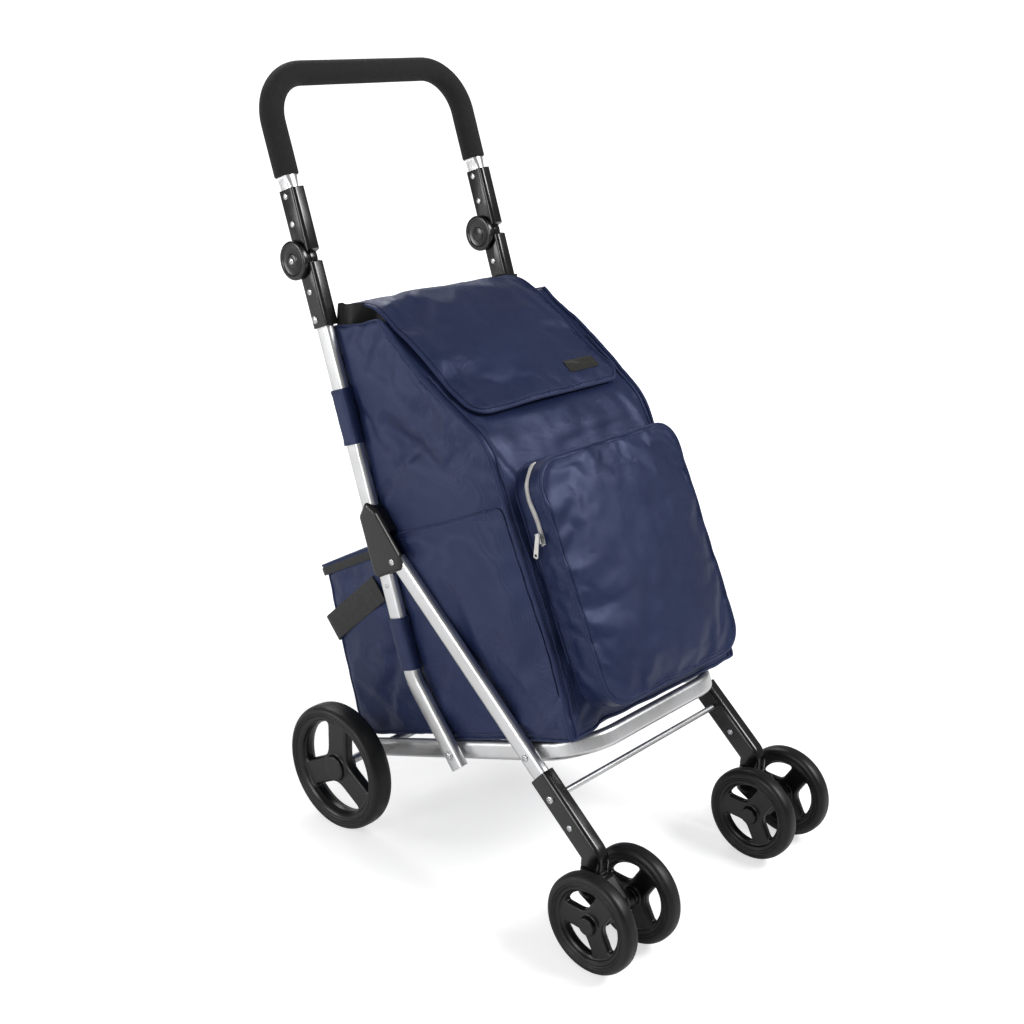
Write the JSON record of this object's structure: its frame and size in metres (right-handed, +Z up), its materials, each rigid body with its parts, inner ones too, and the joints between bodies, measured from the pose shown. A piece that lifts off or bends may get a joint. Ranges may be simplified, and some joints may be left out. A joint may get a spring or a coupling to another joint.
{
  "type": "shopping trolley",
  "caption": "Folding shopping trolley with a tube frame, swivel front casters, large rear wheels, a lidded bag with a front pocket and a rear cooler bag.",
  "frame": {"origin": "on the floor, midway between the rearmost and frontmost points, on the middle plane", "axes": "+Z up, -Y towards the front casters, +X towards the right-hand post seen from behind the handle"},
  "size_m": [0.486, 0.7419, 0.9796],
  "materials": {
    "anodised_aluminium": "satin anodised, flat-oval tube",
    "zinc_steel": "bright zinc plated",
    "black_plastic": "moulded, semi-gloss",
    "foam_grip": "matt closed-cell foam",
    "tyre_rubber": "matt, smooth tread",
    "navy_polyester": "coated polyester weave with a soft sheen",
    "black_fabric": "matt webbing and lining",
    "label_patch": "blank woven patch",
    "zip_white": "moulded zip"
  },
  "bodies": {
    "base": {"base_ring": "anodised_aluminium", "rear_axle": "zinc_steel", "base_pivot_bolt_left": "zinc_steel", "base_pivot_bolt_right": "zinc_steel"},
    "posts": {"post_tube_left": "anodised_aluminium", "post_tube_right": "anodised_aluminium", "hinge_sleeve_lower_left": "black_plastic", "hinge_sleeve_lower_right": "black_plastic", "bag_body": "navy_polyester", "bag_collar": "black_fabric", "side_pocket_left": "navy_polyester", "side_pocket_right": "navy_polyester", "front_pocket": "navy_polyester", "zip_chain": "zip_white", "post_loop_upper_left": "navy_polyester", "post_loop_upper_right": "navy_polyester", "post_loop_lower_left": "navy_polyester", "post_loop_lower_right": "navy_polyester", "cooler_body": "navy_polyester", "cooler_strap": "black_fabric"},
    "legs": {"front_leg_tube_left": "anodised_aluminium", "front_leg_tube_right": "anodised_aluminium", "front_leg_sleeve_left": "black_plastic", "front_leg_sleeve_right": "black_plastic", "cross_rod": "anodised_aluminium", "leg_pivot_bolt_left": "zinc_steel", "leg_pivot_bolt_right": "zinc_steel"},
    "brackets": {"slide_bracket_left": "black_plastic", "slide_bracket_right": "black_plastic", "bracket_bolt_left": "zinc_steel", "bracket_bolt_right": "zinc_steel"},
    "handle": {"handle_tube": "anodised_aluminium", "handle_grip_foam": "foam_grip", "hinge_sleeve_upper_left": "black_plastic", "hinge_sleeve_upper_right": "black_plastic"},
    "knob_left": {"hinge_knob_left": "black_plastic", "hinge_knob_screw_left": "zinc_steel"},
    "knob_right": {"hinge_knob_right": "black_plastic"},
    "lid": {"lid_flap": "navy_polyester", "lid_label": "label_patch"},
    "cooler_lid": {"cooler_lid": "black_fabric"},
    "zip_slider": {"zip_slider": "zip_white"},
    "zip_pull": {"zip_pull": "zip_white"},
    "rear_wheel_left": {"rear_tyre_left": "tyre_rubber", "rear_wheel_centre_left": "black_plastic"},
    "caster_left": {"caster_fork_left": "black_plastic", "caster_pin_left": "zinc_steel"},
    "caster_wheel_left_outer": {"caster_tyre_left_outer": "tyre_rubber", "caster_centre_left_outer": "black_plastic"},
    "caster_wheel_left_inner": {"caster_tyre_left_inner": "tyre_rubber", "caster_centre_left_inner": "black_plastic"},
    "rear_wheel_right": {"rear_tyre_right": "tyre_rubber", "rear_wheel_centre_right": "black_plastic"},
    "caster_right": {"caster_fork_right": "black_plastic", "caster_pin_right": "zinc_steel"},
    "caster_wheel_right_outer": {"caster_tyre_right_outer": "tyre_rubber", "caster_centre_right_outer": "black_plastic"},
    "caster_wheel_right_inner": {"caster_tyre_right_inner": "tyre_rubber", "caster_centre_right_inner": "black_plastic"}
  },
  "joints": [
    {"name": "fold", "type": "hinge", "parent": "base", "child": "posts", "pos_m": [0, -0.0297, 0.1537], "axis": [1, 0, 0], "range_deg": [0, 63], "deforming": ["bag_body", "side_pocket_left", "side_pocket_right", "front_pocket", "zip_chain"]},
    {"name": "leg_turn", "type": "hinge", "parent": "base", "child": "legs", "pos_m": [0, -0.158, 0.2079], "axis": [1, 0, 0], "range_deg": [0, 78.6]},
    {"name": "bracket_slide", "type": "slide", "parent": "posts", "child": "brackets", "axis": [0, 0.3902, 0.9207], "range_m": [0, 0.1551], "deforming": ["post_loop_upper_left", "post_loop_upper_right"]},
    {"name": "handle_tilt", "type": "hinge", "parent": "posts", "child": "handle", "pos_m": [0, 0.2738, 0.7456], "axis": [-1, 0, 0], "range_deg": [-28, 75]},
    {"name": "knob_turn_left", "type": "hinge", "parent": "handle", "child": "knob_left", "pos_m": [-0.1819, 0.2738, 0.7456], "axis": [-1, 0, 0], "range_deg": [-90, 90]},
    {"name": "knob_turn_right", "type": "hinge", "parent": "handle", "child": "knob_right", "pos_m": [0.1601, 0.2738, 0.7456], "axis": [-1, 0, 0], "range_deg": [-90, 90]},
    {"name": "lid_open", "type": "hinge", "parent": "posts", "child": "lid", "pos_m": [0, 0.2275, 0.688], "axis": [-1, 0, 0], "range_deg": [0, 120]},
    {"name": "cooler_lid_open", "type": "hinge", "parent": "posts", "child": "cooler_lid", "pos_m": [0, 0.1225, 0.401], "axis": [1, 0, 0], "range_deg": [0, 75]},
    {"name": "zip_travel", "type": "slide", "parent": "posts", "child": "zip_slider", "axis": [0, 0.4762, 0.8793], "range_m": [0, 0.045]},
    {"name": "zip_pull_swing", "type": "hinge", "parent": "zip_slider", "child": "zip_pull", "pos_m": [-0.1458, -0.126, 0.485], "axis": [0, 1, 0], "range_deg": [0, 120]},
    {"name": "rear_wheel_left_spin", "type": "hinge", "parent": "base", "child": "rear_wheel_left", "pos_m": [-0.225, 0.127, 0.088], "axis": [1, 0, 0], "continuous": true},
    {"name": "caster_left_swivel", "type": "hinge", "parent": "legs", "child": "caster_left", "pos_m": [-0.171, -0.272, 0.105], "axis": [0, 0, 1], "continuous": true},
    {"name": "caster_wheel_left_outer_spin", "type": "hinge", "parent": "caster_left", "child": "caster_wheel_left_outer", "pos_m": [-0.213, -0.307, 0.064], "axis": [1, 0, 0], "continuous": true},
    {"name": "caster_wheel_left_inner_spin", "type": "hinge", "parent": "caster_left", "child": "caster_wheel_left_inner", "pos_m": [-0.129, -0.307, 0.064], "axis": [1, 0, 0], "continuous": true},
    {"name": "rear_wheel_right_spin", "type": "hinge", "parent": "base", "child": "rear_wheel_right", "pos_m": [0.225, 0.127, 0.088], "axis": [1, 0, 0], "continuous": true},
    {"name": "caster_right_swivel", "type": "hinge", "parent": "legs", "child": "caster_right", "pos_m": [0.171, -0.272, 0.105], "axis": [0, 0, 1], "continuous": true},
    {"name": "caster_wheel_right_outer_spin", "type": "hinge", "parent": "caster_right", "child": "caster_wheel_right_outer", "pos_m": [0.213, -0.307, 0.064], "axis": [1, 0, 0], "continuous": true},
    {"name": "caster_wheel_right_inner_spin", "type": "hinge", "parent": "caster_right", "child": "caster_wheel_right_inner", "pos_m": [0.129, -0.307, 0.064], "axis": [1, 0, 0], "continuous": true}
  ],
  "couplings": [
    {"joint": "leg_turn", "follows": "fold", "ratio": 1.2468},
    {"joint": "bracket_slide", "follows": "fold", "m_per_rad": 0.14088}
  ]
}
